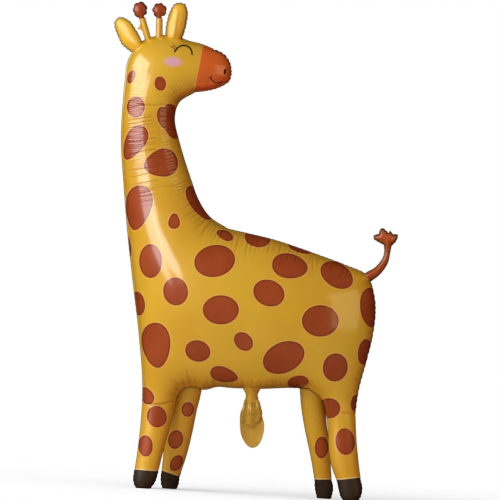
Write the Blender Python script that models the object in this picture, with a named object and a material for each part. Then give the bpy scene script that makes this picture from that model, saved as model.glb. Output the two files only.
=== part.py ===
"""Giraffe foil balloon: one printed film envelope, blown up so that it stands on its four hooves.

The envelope is drawn flat, seen from its left side with the head towards +X, on a square sheet whose
thousandths are the units of every outline below. The sheet leans a little, as the figure does when it is
held by its back, so each outline is first turned level. A flat outline then becomes a pillow: its two plies
stay together along the outline and swell apart between, by the height that a pressed film takes.
"""

import math

import bmesh
import bpy
import numpy as np
from mathutils import Vector, geometry

# Driving dimensions, in metres.
SHEET_SIDE = 1.000  # the square that the outlines are drawn on; the figure is 972 thousandths of it tall
LEAN = math.radians(3.65)  # turn that brings the four hooves level
FULLNESS = 0.88  # swell of a long tube against a round one
EAR_FULLNESS = 0.70
FEET_APART = 0.112  # across, between the middles of the near and the far soles
HIP_HEIGHT = 0.205  # where the near legs begin to turn outwards
FAR_HIP_OFFSET = 0.022  # how far behind the middle the far legs start
TONGUE_THICKNESS = 0.002  # the two plies of the filling valve, pressed flat
SOLE_LEVEL = 0.0012  # height of the ground line above the sheet's lower edge, once level
RIM_STEP = 0.013  # spacing of points along an outline
EAR_STEP = 0.009  # the same on the ears and the valve
SMALL_STEP = 0.006  # the same on the tail and the horns
BALL_POINTS = 22  # points that a horn's ball is drawn with
CURVE_POINTS = 16  # points worked out between two given ones, before the step is applied
GRID_STEP = 0.018  # spacing of points inside it
RIM_ROWS = (0.003, 0.009)  # rows that follow the outline, where the film turns fastest

PIVOT = (0.700, 0.000)  # point of the sheet, in shares of its side, that the levelling turns about

# The trunk's outline, in thousandths of the sheet, run clockwise from the nape. Each stretch is one curve.
SKULL = [(252, 868), (258, 886), (284, 918), (322, 930), (352, 928), (378, 919), (402, 913), (426, 903.5)]
MUZZLE = [(426, 903.5), (449, 892), (461, 874), (464, 856), (460, 839), (444, 827), (420, 819), (390, 815)]
THROAT = [(390, 815), (359, 795), (350, 764), (360, 714), (383, 640), (398, 600), (420, 567), (456, 543)]
BACK = [(456, 543), (552, 520), (648, 487), (692, 470.5), (728, 455.5), (738, 448), (742, 437)]
RUMP = [(742, 437), (747, 420), (752, 384), (746, 328), (732, 272), (718, 220), (711, 172)]
REAR_SHIN = [(711, 172), (713, 120), (718, 68), (721, 44)]
REAR_HOOF = [(721, 44), (724, 26), (720, 6), (708, -5), (694, -5), (682, 6), (673, 39)]
REAR_THIGH = [(673, 39), (662, 70), (656.5, 104), (655.5, 134), (652, 170), (642, 202), (616, 222)]
BELLY = [(616, 222), (580, 224), (520, 222), (460, 224), (436, 226), (408, 220), (388, 225), (366, 220), (354, 204)]
FRONT_THIGH = [(354, 204), (349, 180), (334.5, 126), (317, 58)]
FRONT_HOOF = [(317, 58), (311, 38), (299, 23), (286, 19), (273, 25), (267, 42), (269, 59)]
CHEST = [(269, 59), (273, 84), (281, 152), (284.5, 230), (277, 334), (264, 446), (254, 540), (245, 656)]
NAPE = [(245, 656), (242, 712), (244, 780), (252, 868)]

FAR_FRONT_SHIN = [(404, 300), (406, 240), (401, 208), (394, 180), (385, 136), (373, 88), (359, 46)]
FAR_FRONT_HOOF = [(359, 46), (357, 32), (351, 18), (342, 12), (331, 13), (323, 26), (321, 42), (322.5, 57)]
FAR_FRONT_THIGH = [(322.5, 57), (327, 90), (334, 124), (343, 160), (352, 200), (364, 300), (384, 316), (404, 300)]

FAR_REAR_SHIN = [(644, 290), (650, 200), (654, 150), (659, 110), (662, 70), (664, 40)]
FAR_REAR_HOOF = [(664, 40), (666.5, 20), (661, 0), (650, -7), (638, -4), (631, 18), (629, 40)]
FAR_REAR_THIGH = [(629, 40), (622, 82), (615, 115), (607, 155), (601, 200), (602, 290), (623, 306), (644, 290)]

LEFT_EAR = [(264, 894), (243, 912), (234, 931), (228, 950), (230, 960), (240, 967), (252, 964)]
LEFT_EAR_FRONT = [(252, 964), (262, 956), (274, 938), (283, 921), (288, 906), (278, 888), (264, 894)]
RIGHT_EAR = [(330, 925), (332, 950), (340, 979), (350, 993), (361, 995), (371, 992)]
RIGHT_EAR_FRONT = [(371, 992), (376, 976), (373, 950), (366, 926), (354, 902), (336, 904), (330, 925)]

TAIL_TOP = [(722, 438), (731, 454), (750, 465.5), (765, 484.5), (768.5, 499), (767, 510)]
TUFT_BACK = [(767, 510), (755, 516.5), (748, 521), (747.5, 529), (757, 532.5)]
TUFT_TOP = [(757, 532.5), (760, 541), (765, 544.5), (777, 535)]
TUFT_NUB = [(777, 535), (780.5, 539), (786, 532)]
TUFT_FRONT = [(786, 532), (796, 531), (793, 518), (783.5, 508)]
TAIL_UNDER = [(783.5, 508), (781, 496), (776, 474), (761, 452), (742, 437), (730, 430), (722, 438)]

VALVE_NECK = [(476, 236), (486, 222), (491.5, 210), (487, 188), (502, 178), (517.5, 188), (515.5, 210), (521, 222)]
VALVE_NECK_TOP = [(521, 222), (531, 236), (503, 252), (476, 236)]
VALVE_TONGUE = [(492, 208), (487, 190), (481, 174), (480, 148), (485, 128), (493, 112), (503.5, 104.5), (514, 111)]
VALVE_TONGUE_FRONT = [(514, 111), (523, 127), (528, 148), (523, 172), (517, 190), (515, 208), (492, 208)]

# Each horn: middle of its ball, the ball's half width and half height, foot of the stem, the stem's width.
HORNS = (
    ("front", (319, 980), (14, 14.5), (318, 908), 12.5),
    ("back", (280, 981), (14, 16), (300, 908), 11),
)

FILM_GOLD = (0.73, 0.46, 0.045, 1.0)


def level(points):
    """Thousandths of the leaning sheet to metres, upright."""
    x, z = np.asarray(points, float).T / 1000 * SHEET_SIDE
    x = x - PIVOT[0] * SHEET_SIDE
    z = z - PIVOT[1] * SHEET_SIDE
    across = x * math.cos(LEAN) - z * math.sin(LEAN)
    up = x * math.sin(LEAN) + z * math.cos(LEAN) + SOLE_LEVEL
    return np.stack([across, up], axis=1)


def curve_through(points, step):
    """Points at about the step along a smooth curve through the given ones, without its last point."""
    p = np.asarray(points, float)
    p = np.concatenate([[2 * p[0] - p[1]], p, [2 * p[-1] - p[-2]]])
    fine = []
    for a, b, c, d in zip(p, p[1:], p[2:], p[3:]):
        knots = np.cumsum([0] + [max(math.dist(u, v), 1e-9) ** 0.5 for u, v in ((a, b), (b, c), (c, d))])
        t0, t1, t2, t3 = knots
        t = np.linspace(t1, t2, CURVE_POINTS, endpoint=False)[:, None]
        ab = ((t1 - t) * a + (t - t0) * b) / (t1 - t0)
        bc = ((t2 - t) * b + (t - t1) * c) / (t2 - t1)
        cd = ((t3 - t) * c + (t - t2) * d) / (t3 - t2)
        abc = ((t2 - t) * ab + (t - t0) * bc) / (t2 - t0)
        bcd = ((t3 - t) * bc + (t - t1) * cd) / (t3 - t1)
        fine.append(((t2 - t) * abc + (t - t1) * bcd) / (t2 - t1))
    fine = np.concatenate(fine + [p[-2:-1]])
    run = np.concatenate([[0], np.cumsum(np.linalg.norm(np.diff(fine, axis=0), axis=1))])
    count = max(2, round(run[-1] / step))
    at = np.linspace(0, run[-1], count, endpoint=False)
    return np.stack([np.interp(at, run, fine[:, 0]), np.interp(at, run, fine[:, 1])], axis=1)


def outline(*stretches, step=RIM_STEP):
    """The closed outline that the stretches make, counter-clockwise."""
    points = np.concatenate([curve_through(level(stretch), step) for stretch in stretches])
    x, z = points.T
    area = np.sum(x * np.roll(z, -1) - np.roll(x, -1) * z)
    return points if area > 0 else points[::-1]


def horn_outline(middle, half, foot, width):
    """A ball on a stem, as one outline."""
    turn = math.atan2(foot[1] - middle[1], foot[0] - middle[0])
    side = np.array([-math.sin(turn), math.cos(turn)]) * width / 2
    neck = math.atan2(width / 2, half[0])
    angles = np.linspace(turn + neck, turn - neck + 2 * math.pi, BALL_POINTS)
    ball = np.stack([middle[0] + half[0] * np.cos(angles), middle[1] + half[1] * np.sin(angles)], axis=1)
    stem = np.array([ball[-1], foot - side])
    return [ball, stem, np.array([foot - side, foot + side]), np.array([foot + side, ball[0]])]


def distance_to(points, rim):
    """Distance of each point from a closed outline, and whether it lies inside."""
    near = np.full(len(points), np.inf)
    crossings = np.zeros(len(points), int)
    for a, b in zip(rim, np.roll(rim, -1, axis=0)):
        along = np.clip((points - a) @ (b - a) / max((b - a) @ (b - a), 1e-18), 0, 1)
        near = np.minimum(near, np.linalg.norm(points - a - along[:, None] * (b - a), axis=1))
        spans = (a[1] > points[:, 1]) != (b[1] > points[:, 1])
        with np.errstate(divide="ignore", invalid="ignore"):
            reach = a[0] + (points[:, 1] - a[1]) / (b[1] - a[1]) * (b[0] - a[0])
        crossings += spans & (points[:, 0] < reach)
    return near, crossings % 2 == 1


def inner_points(rim, rows=RIM_ROWS, step=GRID_STEP):
    """Rows that follow the outline inside it, then an even grid."""
    tangent = np.roll(rim, -1, axis=0) - np.roll(rim, 1, axis=0)
    inward = np.stack([-tangent[:, 1], tangent[:, 0]], axis=1)
    inward /= np.linalg.norm(inward, axis=1)[:, None]
    kept = np.empty((0, 2))
    for row in rows:
        candidates = rim + inward * row
        near, inside = distance_to(candidates, rim)
        kept = np.concatenate([kept, candidates[inside & (near > 0.93 * row)]])
    low = rim.min(axis=0)
    high = rim.max(axis=0)
    x, z = np.meshgrid(np.arange(low[0], high[0], step), np.arange(low[1], high[1], step * math.sqrt(0.75)))
    x = x + 0.5 * step * (np.arange(len(x)) % 2)[:, None]
    grid = np.stack([x.ravel(), z.ravel()], axis=1)
    near, inside = distance_to(grid, rim)
    clear = rows[-1] + 0.45 * step
    return np.concatenate([kept, grid[inside & (near > clear)]])


def swell(points, triangles, rim_count):
    """Height of the pressed film over each point: the root of twice a membrane's sag under even pressure."""
    a, b, c = (points[triangles[:, k]] for k in range(3))
    double_area = np.abs((b - a)[:, 0] * (c - a)[:, 1] - (b - a)[:, 1] * (c - a)[:, 0])
    starts, ends, weights = [], [], []
    for i, j, k in ((0, 1, 2), (1, 2, 0), (2, 0, 1)):
        u = points[triangles[:, i]] - points[triangles[:, k]]
        v = points[triangles[:, j]] - points[triangles[:, k]]
        starts.append(triangles[:, i])
        ends.append(triangles[:, j])
        weights.append((u * v).sum(axis=1) / (2 * double_area))
    starts, ends, weights = map(np.concatenate, (starts, ends, weights))
    count = len(points)
    load = np.bincount(triangles.ravel(), np.repeat(double_area / 6, 3), count)
    load[:rim_count] = 0

    def stiffness(u):
        flow = weights * (u[starts] - u[ends])
        out = np.bincount(starts, flow, count) - np.bincount(ends, flow, count)
        out[:rim_count] = 0
        return out

    sag = np.zeros(count)
    rest = load.copy()
    way = rest.copy()
    size = rest @ rest
    goal = size * 1e-12
    for _ in range(4 * count):
        if size <= goal:
            break
        pushed = stiffness(way)
        share = size / (way @ pushed)
        sag += share * way
        rest -= share * pushed
        new_size = rest @ rest
        way = rest + new_size / size * way
        size = new_size
    return np.sqrt(2 * np.maximum(sag, 0))


def near_side(up):
    """How far the trunk's sheet is bent out of its plane: its legs turn towards the viewer below the hip."""
    below = np.maximum(HIP_HEIGHT - up, 0) / HIP_HEIGHT
    return -FEET_APART / 2 * below**1.25


def far_side(up):
    """The far legs start behind the middle and turn away."""
    below = (HIP_HEIGHT - up) / HIP_HEIGHT
    return FAR_HIP_OFFSET + (FEET_APART / 2 - FAR_HIP_OFFSET) * below


def film_material():
    """Metallised film, printed gold."""
    material = bpy.data.materials.new("gold_film")
    material.use_nodes = True
    shader = material.node_tree.nodes["Principled BSDF"]
    shader.inputs["Base Color"].default_value = FILM_GOLD
    shader.inputs["Roughness"].default_value = 0.25
    shader.inputs["Metallic"].default_value = 0.6
    return material


def add_object(name, vertices, faces):
    """A named mesh object, shaded smooth, with its faces pointing out."""
    mesh = bpy.data.meshes.new(name)
    mesh.from_pydata([tuple(v) for v in vertices], [], [tuple(f) for f in faces])
    shape = bmesh.new()
    shape.from_mesh(mesh)
    bmesh.ops.recalc_face_normals(shape, faces=shape.faces)
    shape.to_mesh(mesh)
    shape.free()
    mesh.shade_smooth()
    piece = bpy.data.objects.new(name, mesh)
    bpy.context.scene.collection.objects.link(piece)
    return piece


def triangulate(rim, inner):
    """Points and triangles inside the rim, with a point on every chord, so that the plies share only the rim."""
    count = len(rim)
    edges = [(i, (i + 1) % count) for i in range(count)]
    while True:
        flat = np.concatenate([rim, inner])
        found = geometry.delaunay_2d_cdt([Vector(p) for p in flat.tolist()], edges, [], 0, 1e-7, False)
        points = np.array([tuple(p) for p in found[0]])
        triangles = np.array(found[2])
        triangles = triangles[distance_to(points[triangles].mean(axis=1), rim)[1]]
        sides = np.sort(np.concatenate([triangles[:, [0, 1]], triangles[:, [1, 2]], triangles[:, [2, 0]]]), axis=1)
        sides = np.unique(sides[sides[:, 1] < count], axis=0)
        steps = sides[:, 1] - sides[:, 0]
        chords = sides[(steps > 1) & (steps < count - 1)]
        if len(chords) == 0:
            return points, triangles
        inner = np.concatenate([inner, points[chords].mean(axis=1)])


def pillow(name, rim, bend, fullness=FULLNESS):
    """Two plies joined along the rim and swollen apart."""
    count = len(rim)
    points, triangles = triangulate(rim, inner_points(rim))
    height = fullness * swell(points, triangles, count)
    middle = bend(points[:, 1])
    front = np.stack([points[:, 0], middle - height, points[:, 1]], axis=1)
    back = np.stack([points[:, 0], middle + height, points[:, 1]], axis=1)[count:]
    behind = np.where(triangles < count, triangles, triangles + len(points) - count)
    return add_object(name, np.concatenate([front, back]), np.concatenate([triangles, behind[:, ::-1]]))


def plate(name, rim, thickness, bend):
    """A flat outline given a thickness."""
    count = len(rim)
    middle = bend(rim[:, 1])
    front = np.stack([rim[:, 0], middle - thickness / 2, rim[:, 1]], axis=1)
    back = np.stack([rim[:, 0], middle + thickness / 2, rim[:, 1]], axis=1)
    sides = [(i, (i + 1) % count, (i + 1) % count + count, i + count) for i in range(count)]
    mesh_faces = [tuple(range(count)), tuple(range(2 * count - 1, count - 1, -1))] + sides
    return add_object(name, np.concatenate([front, back]), mesh_faces)


def ground_block(width):
    """What lies below the ground line, which the hooves are cut flat by."""
    bpy.ops.mesh.primitive_cube_add(size=width, location=(0, 0, -width / 2))
    block = bpy.context.object
    block.name = "ground_cutter"
    return block


def combine(body, other, operation):
    """A Boolean of the body with a helper, which is left out of renders."""
    other.hide_render = True
    other.display_type = "WIRE"
    step = body.modifiers.new(other.name, "BOOLEAN")
    step.operation = operation
    step.solver = "EXACT"
    step.object = other


def upright(up):
    """No bend at all."""
    return np.zeros_like(up)


def drawn_outlines():
    """Every film piece's outline, level, with the middle of the whole figure at x = 0."""
    rims = {
        "giraffe_balloon": outline(
            SKULL, MUZZLE, THROAT, BACK, RUMP, REAR_SHIN, REAR_HOOF, REAR_THIGH, BELLY, FRONT_THIGH, FRONT_HOOF, CHEST, NAPE
        ),
        "far_front_leg": outline(FAR_FRONT_SHIN, FAR_FRONT_HOOF, FAR_FRONT_THIGH),
        "far_rear_leg": outline(FAR_REAR_SHIN, FAR_REAR_HOOF, FAR_REAR_THIGH),
        "left_ear": outline(LEFT_EAR, LEFT_EAR_FRONT, step=EAR_STEP),
        "right_ear": outline(RIGHT_EAR, RIGHT_EAR_FRONT, step=EAR_STEP),
        "tail": outline(TAIL_TOP, TUFT_BACK, TUFT_TOP, TUFT_NUB, TUFT_FRONT, TAIL_UNDER, step=SMALL_STEP),
        "valve_neck": outline(VALVE_NECK, VALVE_NECK_TOP, step=EAR_STEP),
        "valve_tongue": outline(VALVE_TONGUE, VALVE_TONGUE_FRONT, step=EAR_STEP),
    }
    for name, middle, half, foot, width in HORNS:
        rims[f"{name}_horn"] = outline(*horn_outline(middle, half, np.array(foot), width), step=SMALL_STEP)
    across = np.concatenate(list(rims.values()))[:, 0]
    middle = (across.min() + across.max()) / 2
    return {name: rim - (middle, 0) for name, rim in rims.items()}


def main():
    for item in list(bpy.data.objects):
        bpy.data.objects.remove(item, do_unlink=True)

    rims = drawn_outlines()
    balloon = pillow("giraffe_balloon", rims["giraffe_balloon"], near_side)
    balloon.data.materials.append(film_material())

    pieces = [pillow(name, rims[name], far_side) for name in ("far_front_leg", "far_rear_leg")]
    pieces += [pillow(name, rims[name], upright, EAR_FULLNESS) for name in ("left_ear", "right_ear", "valve_neck")]
    pieces += [pillow(name, rims[name], upright) for name in ("front_horn", "back_horn", "tail")]
    pieces.append(plate("valve_tongue", rims["valve_tongue"], TONGUE_THICKNESS, upright))
    for piece in pieces:
        combine(balloon, piece, "UNION")
    combine(balloon, ground_block(2 * SHEET_SIDE), "DIFFERENCE")


if __name__ == "__main__":
    main()
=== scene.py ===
"""Looks of a giraffe foil balloon: the printed, welded and blown-up film, its stage and its camera.

Outlines and prints are drawn on a leaning square sheet, in thousandths of its side, seen from the left side
of the figure. Each outline becomes two plies that are welded along its edge and pressed apart between, with
the small puckers that the weld gathers in the film.
"""

import math
from collections import namedtuple

import bmesh
import bpy
import numpy as np
from mathutils import Matrix, Vector, geometry, kdtree, noise


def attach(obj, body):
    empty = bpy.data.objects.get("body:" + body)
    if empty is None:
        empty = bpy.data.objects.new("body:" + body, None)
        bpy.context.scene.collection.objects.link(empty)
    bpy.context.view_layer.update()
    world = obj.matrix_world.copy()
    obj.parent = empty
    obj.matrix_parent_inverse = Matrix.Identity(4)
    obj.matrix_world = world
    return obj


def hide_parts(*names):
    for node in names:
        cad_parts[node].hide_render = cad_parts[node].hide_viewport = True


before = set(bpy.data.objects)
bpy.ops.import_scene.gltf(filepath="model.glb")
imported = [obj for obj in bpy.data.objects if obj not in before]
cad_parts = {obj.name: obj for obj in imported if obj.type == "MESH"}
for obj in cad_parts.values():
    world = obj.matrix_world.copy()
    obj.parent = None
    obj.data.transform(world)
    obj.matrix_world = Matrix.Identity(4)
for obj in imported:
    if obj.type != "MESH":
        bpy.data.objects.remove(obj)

bl_info = {
    "name": "Giraffe foil balloon",
    "version": (1, 0, 0),
    "blender": (4, 5, 0),
    "location": "3D View > Sidebar > Balloon",
    "description": "Builds the printed film of a giraffe balloon, its studio light and its camera",
    "category": "Add Mesh",
}

ENVELOPE = "giraffe_balloon"

# How the sheet stands in the frame, the same as in the part's source. Lengths are in metres.
SHEET_SIDE = 1.000
LEAN = math.radians(3.65)
PIVOT = 0.700
SOLE_LEVEL = 0.0012
FEET_APART = 0.112
HIP_HEIGHT = 0.205
FAR_HIP_OFFSET = 0.022

# Puckers, folds and painted shade, in metres unless said otherwise.
NOTCH_REACH = 0.0045  # how far in from the edge the weld's scallops are felt
PUCKER_START = 0.006  # how far from the weld a pucker gets its full depth
PUCKER_WIDTH = 0.24  # of the distance between puckers
PUCKER_DARKNESS = 1300  # how much painted shade a pucker gets, for each metre of its depth
FOLD_DARKNESS = 1200  # the same for a fold
FOLD_REACH = 0.030  # how far from a fold the film is felt to bulge
WAVINESS = 0.010  # how unevenly the film swells, as a share of its swell
SHADE_REACH = 0.017  # how far in from an edge that faces down or right the film gets painted shade
SHADE_SIDE = (0.62, -0.78)  # across and up, the way that the edges with painted shade face

# How the outlines and the film between them are meshed.
CURVE_POINTS = 16  # on each span of a smooth curve, before it is stepped evenly
SLIVER = 1e-9  # square metres under which a triangle along a straight edge is nothing
ROW_KEPT = 0.93  # share of its distance from the edge that a point of a row keeps in a tight bend
LONG_REACH = 0.020  # puckers that reach further in than this get every point of the lattice
BORDER = 0.016  # how far in from the edge every second point is kept

# How finely a film is meshed: step along its rim, step of its lattice, and rows that follow the edge inside.
TRUNK_STEPS = (0.0021, 0.0015, (0.0026, 0.0034, 0.0055, 0.0085))
LEG_STEPS = (0.0021, 0.0018, (0.0026, 0.0034, 0.0055, 0.0085))
SMALL_STEPS = (0.0010, 0.0005, (0.0013, 0.0026, 0.0032))
EAR_STEPS = (0.0012, 0.0008, (0.0014, 0.0026, 0.0033, 0.0045))

# How a weld gathers the film: spacing of its puckers, how deep they notch the edge, how deep they press the
# film, how far they reach in from the edge, and the width of the band along the edge painted dark as shade. All
# in thousandths of the sheet.
Weld = namedtuple("Weld", "spacing notch dent reach hem")
TIGHT = Weld(8, 0.3, 0.35, 9, 1.2)
SCALP = Weld(7, 0.8, 0.6, 12, 1.5)
NOSE = Weld(9, 3.2, 1.6, 12, 3.8)
CHIN = Weld(5.0, 0.3, 0.7, 44, 1.9)
NAPE_FAN = Weld(8.5, 0.3, 1.0, 62, 1.9)
SPINE = Weld(11, 1.3, 0.6, 26, 2.1)
SEAT = Weld(12, 1.3, 1.1, 17, 2.8)
UNDERSIDE = Weld(10, 0.4, 1.0, 28, 2.0)
HOOF = Weld(8, 1.4, 1.0, 9, 3.0)
BREAST = Weld(13, 0.5, 0.5, 13, 1.2)
NECK_LINES = Weld(4.2, 0.15, 0.36, 66, 1.2)
EAR_EDGE = Weld(8, 1.7, 1.0, 9, 2.6)
KNOB_EDGE = Weld(13, 2.4, 1.1, 6, 3.4)
STEM_EDGE = Weld(8, 0.1, 0.2, 5, 1.4)
TUFT_EDGE = Weld(8, 1.0, 0.5, 5, 3.8)
TAIL_EDGE = STEM_EDGE._replace(hem=2.4)

# Stretches of each outline: points, then the weld at the stretch's start and at its end.
SKULL = [(252, 868), (258, 886), (284, 918), (322, 930), (352, 928), (378, 919), (402, 913), (426, 903.5)]
MUZZLE = [(426, 903.5), (449, 892), (461, 874), (464, 856), (460, 839), (444, 827), (420, 819), (390, 815)]
THROAT = [(390, 815), (359, 795), (350, 764), (360, 714), (383, 640), (398, 600), (420, 567), (456, 543)]
BACK = [(456, 543), (552, 520), (648, 487), (692, 470.5), (728, 455.5), (738, 448), (742, 437)]
RUMP = [(742, 437), (747, 420), (752, 384), (746, 328), (732, 272), (718, 220), (711, 172)]
REAR_SHIN = [(711, 172), (713, 120), (718, 68), (721, 44)]
REAR_HOOF = [(721, 44), (724, 26), (720, 6), (708, -5), (694, -5), (682, 6), (673, 39)]
REAR_THIGH = [(673, 39), (662, 70), (656.5, 104), (655.5, 134), (652, 170), (642, 202), (616, 222)]
BELLY = [
    (616, 222), (580, 224), (520, 222), (460, 224), (436, 226), (408, 220), (388, 225), (366, 220), (354, 204),
]
FRONT_THIGH = [(354, 204), (349, 180), (334.5, 126), (317, 58)]
FRONT_HOOF = [(317, 58), (311, 38), (299, 23), (286, 19), (273, 25), (267, 42), (269, 59)]
CHEST = [(269, 59), (273, 84), (281, 152), (284.5, 230), (277, 334), (264, 446), (254, 540), (245, 656)]
NAPE = [(245, 656), (242, 712), (244, 780), (252, 868)]
TRUNK = [
    (SKULL, SCALP, SCALP),
    (MUZZLE, NOSE, NOSE._replace(notch=0.5, hem=1.4)),
    (THROAT, CHIN, NAPE_FAN),
    (BACK, NAPE_FAN, SPINE),
    (RUMP, SEAT, SEAT),
    (REAR_SHIN, TIGHT, TIGHT),
    (REAR_HOOF, HOOF, HOOF),
    (REAR_THIGH, TIGHT, TIGHT),
    (BELLY, UNDERSIDE, UNDERSIDE._replace(hem=0.9)),
    (FRONT_THIGH, TIGHT._replace(hem=0.7), TIGHT._replace(hem=0.7)),
    (FRONT_HOOF, HOOF, HOOF),
    (CHEST, TIGHT, BREAST),
    (NAPE, NECK_LINES, NECK_LINES),
]

FAR_FRONT_SHIN = [(404, 300), (406, 240), (401, 208), (394, 180), (385, 136), (373, 88), (359, 46)]
FAR_FRONT_HOOF = [(359, 46), (357, 32), (351, 18), (342, 12), (331, 13), (323, 26), (321, 42), (322.5, 57)]
FAR_FRONT_THIGH = [
    (322.5, 57), (326, 90), (329, 124), (337, 160), (348, 200), (364, 300), (384, 316), (404, 300),
]
FAR_FRONT_LEG = [
    (FAR_FRONT_SHIN, TIGHT, TIGHT),
    (FAR_FRONT_HOOF, HOOF, HOOF),
    (FAR_FRONT_THIGH, TIGHT, TIGHT),
]

FAR_REAR_SHIN = [(644, 290), (650, 200), (654, 150), (659, 110), (662, 70), (664, 40)]
FAR_REAR_HOOF = [(664, 40), (666.5, 20), (661, 0), (650, -7), (638, -4), (631, 18), (629, 40)]
FAR_REAR_THIGH = [
    (629, 40), (622, 82), (615, 115), (607, 155), (601, 200), (602, 290), (623, 306), (644, 290),
]
FAR_REAR_LEG = [
    (FAR_REAR_SHIN, TIGHT, TIGHT),
    (FAR_REAR_HOOF, HOOF, HOOF),
    (FAR_REAR_THIGH, TIGHT, TIGHT),
]

LEFT_EAR_BACK = [(264, 894), (243, 912), (234, 931), (228, 950), (230, 960), (240, 967), (252, 964)]
LEFT_EAR_FRONT = [(252, 964), (262, 956), (274, 938), (283, 921), (288, 906), (278, 888), (264, 894)]
LEFT_EAR = [(LEFT_EAR_BACK, EAR_EDGE, EAR_EDGE), (LEFT_EAR_FRONT, EAR_EDGE, EAR_EDGE)]
RIGHT_EAR_BACK = [(330, 925), (332, 950), (340, 979), (350, 993), (361, 995), (371, 992)]
RIGHT_EAR_FRONT = [(371, 992), (376, 976), (373, 950), (366, 926), (354, 902), (336, 904), (330, 925)]
RIGHT_EAR = [(RIGHT_EAR_BACK, EAR_EDGE, EAR_EDGE), (RIGHT_EAR_FRONT, EAR_EDGE, EAR_EDGE)]

# Folds that cross the film: points, depth, width, and how far the film above bulges over them.
RIGHT_EAR_FOLDS = [([(350, 914), (355, 950), (361, 986)], 0.7, 3.0, 0)]
TRUNK_FOLDS = [
    ([(276, 197), (300, 192.5), (320, 192.5), (350, 200)], 2.0, 1.8, 1.6),
    ([(680, 177), (690, 174.5), (704, 174)], 0.9, 1.6, 1.0),
    ([(288, 880), (288.5, 856), (287, 836)], 0.35, 2.6, 0),
    ([(270, 791), (300, 789), (340, 791)], 0.7, 1.6, 0),
    ([(290, 622), (330, 628), (368, 628)], 0.6, 1.6, 0),
    ([(372, 266), (376, 250), (379, 230)], 0.9, 1.8, 0),
    ([(389, 246), (391, 228)], 0.6, 1.6, 0),
    ([(340, 246), (356, 232), (362, 224)], 0.6, 1.8, 0),
    ([(624, 492), (626, 470), (625, 452)], 0.7, 1.6, 0),
    ([(634, 488), (636, 468)], 0.5, 1.6, 0),
]

# Each ear: its outline, its folds, and how it is turned: foot, axis in degrees, slope.
EARS = {
    "left_ear_film": (LEFT_EAR, [], ((274, 893), 90, 0.44)),
    "right_ear_film": (RIGHT_EAR, RIGHT_EAR_FOLDS, ((348, 905), 86, 0.22)),
}

TAIL_TOP = [(722, 438), (731, 454), (750, 465.5), (765, 484.5), (768.5, 499), (767, 510)]
TUFT_BACK = [(767, 510), (755, 516.5), (748, 521), (747.5, 529), (757, 532.5)]
TUFT_TOP = [(757, 532.5), (760, 541), (765, 544.5), (777, 535)]
TUFT_NUB = [(777, 535), (780.5, 539), (786, 532)]
TUFT_FRONT = [(786, 532), (796, 531), (793, 518), (783.5, 508)]
TAIL_UNDER = [(783.5, 508), (781, 496), (776, 474), (761, 452), (742, 437), (730, 430), (722, 438)]
TAIL = [(TAIL_TOP, TAIL_EDGE, TAIL_EDGE)]
TAIL += [(stretch, TUFT_EDGE, TUFT_EDGE) for stretch in (TUFT_BACK, TUFT_TOP, TUFT_NUB, TUFT_FRONT)]
TAIL += [(TAIL_UNDER, TAIL_EDGE, TAIL_EDGE)]

VALVE_NECK_SIDES = [
    (476, 236), (486, 222), (491.5, 210), (487, 188), (502, 178), (517.5, 188), (515.5, 210), (521, 222),
]
VALVE_NECK_TOP = [(521, 222), (531, 236), (503, 252), (476, 236)]
VALVE_NECK = [(VALVE_NECK_SIDES, TIGHT, TIGHT), (VALVE_NECK_TOP, TIGHT, TIGHT)]
TONGUE = [
    (492, 208), (487, 190), (481, 174), (479.8, 152), (482, 131.4), (488.2, 117.2), (495.4, 108.2),
    (504.2, 104.2), (513.2, 106.8), (520, 114.5), (526, 130), (528.4, 150), (523, 172), (517, 190),
    (515, 208), (492, 208),
]
LIP = [
    (491, 200), (486, 186), (482.5, 172), (483, 160), (491, 153), (499, 149), (504.5, 145),
    (509, 150), (517, 157), (524.5, 170), (522, 186), (517, 200), (504, 203), (491, 200),
]

# Each horn: middle of its knob, the knob's half width and half height, foot of the stem, the stem's width.
HORNS = {
    "front_horn": ((319, 979.5), (14.6, 15.2), (318, 908), 14.5),
    "back_horn": ((280.3, 980.5), (14.8, 16.5), (300, 908), 13.5),
}
KNOB_MARGIN = (3, 1)  # how far the knob's brown reaches past its half width and half height
HORN_FLAP = [
    (273.6, 941), (278, 946.5), (281, 952.5), (287, 950), (291, 936), (287, 933.5), (283, 939), (279, 941.5),
    (273.6, 941),
]

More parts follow.
